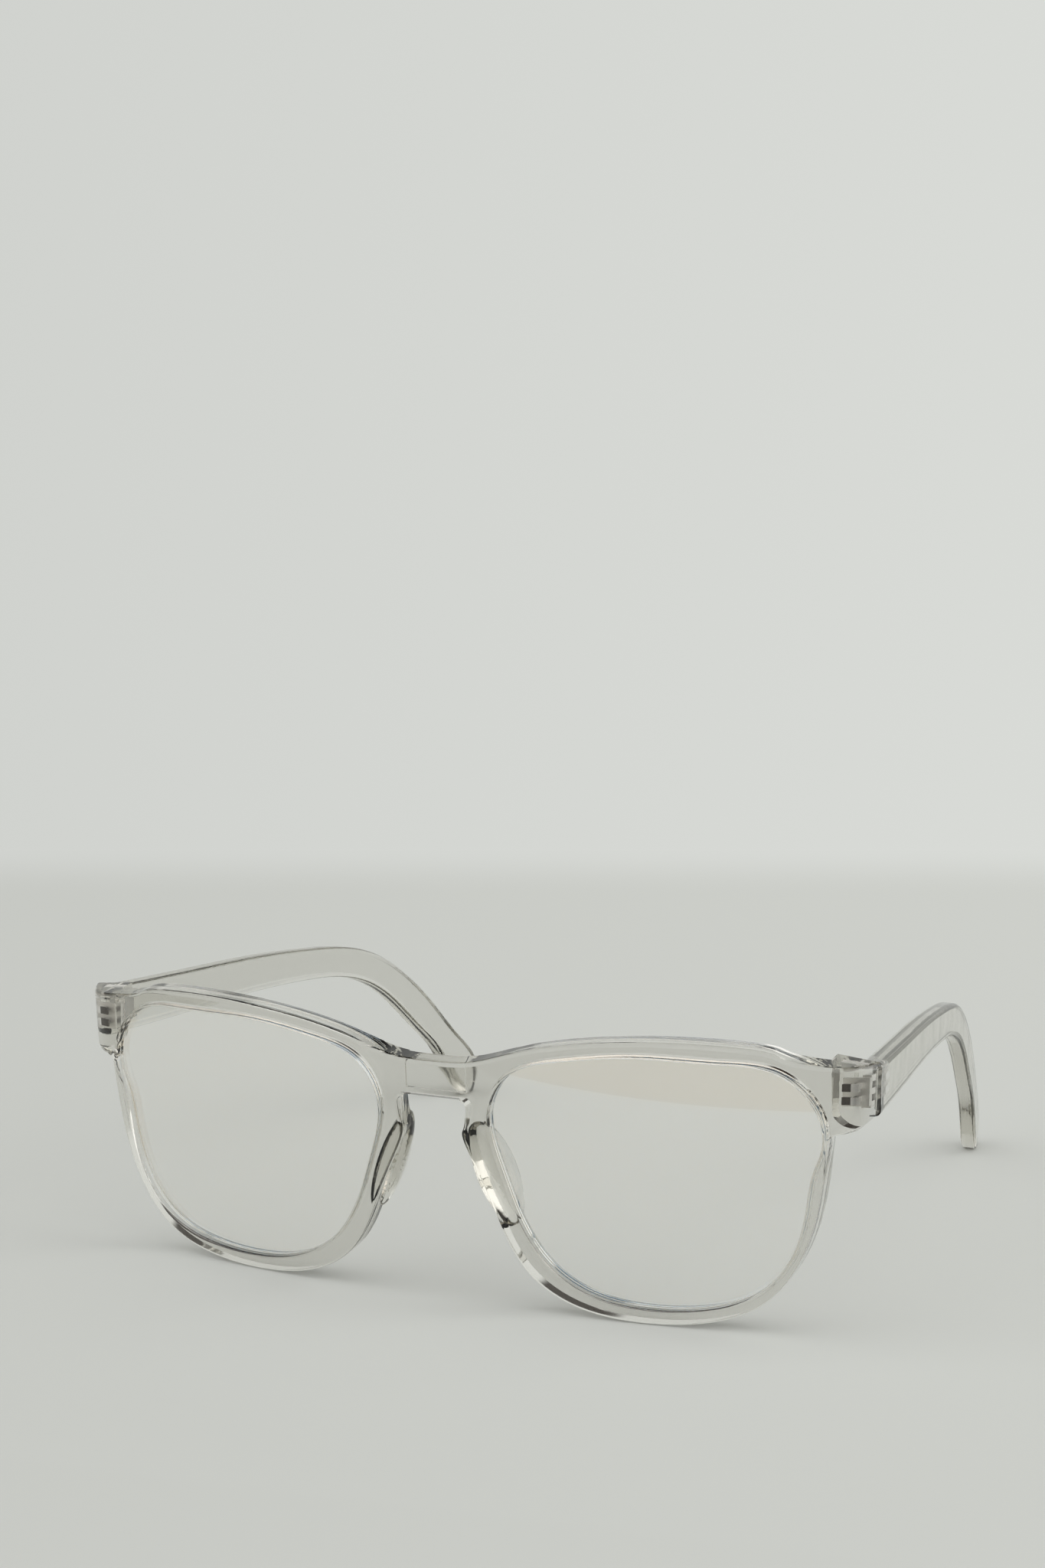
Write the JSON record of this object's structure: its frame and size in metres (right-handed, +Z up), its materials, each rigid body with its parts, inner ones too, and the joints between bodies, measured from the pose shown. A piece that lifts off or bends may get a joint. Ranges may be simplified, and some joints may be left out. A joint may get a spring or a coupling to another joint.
{
  "type": "eyeglasses",
  "caption": "Full-rim eyeglasses with a clear moulded front, a keyhole bridge, moulded nose pads, clear lenses and folding temples on five-knuckle hinges.",
  "frame": {"origin": "bottom centre of the bounding box, on the surface that the rims and the temple tips stand on", "axes": "+X to the wearer's left, -Y the way the front faces, +Y back along the temples, +Z up"},
  "size_m": [0.142, 0.132, 0.0473],
  "materials": {
    "crystal_plastic": "gloss",
    "lens_plastic": "gloss",
    "hinge_metal": "satin",
    "screw_steel": "satin"
  },
  "bodies": {
    "front": {"front_frame": "crystal_plastic", "lens_left": "lens_plastic", "front_hinge_leaf_left": "hinge_metal", "hinge_screw_left": "screw_steel", "lens_right": "lens_plastic", "front_hinge_leaf_right": "hinge_metal", "hinge_screw_right": "screw_steel"},
    "temple_left": {"temple_left": "crystal_plastic", "temple_hinge_leaf_left": "hinge_metal"},
    "temple_right": {"temple_right": "crystal_plastic", "temple_hinge_leaf_right": "hinge_metal"}
  },
  "joints": [
    {"name": "temple_left_fold", "type": "hinge", "parent": "front", "child": "temple_left", "pos_m": [0.0682, -0.05047, 0.0399], "axis": [0, 0, 1], "range_deg": [0, 82]},
    {"name": "temple_right_fold", "type": "hinge", "parent": "front", "child": "temple_right", "pos_m": [-0.0682, -0.05047, 0.0399], "axis": [0, 0, -1], "range_deg": [0, 77]}
  ]
}
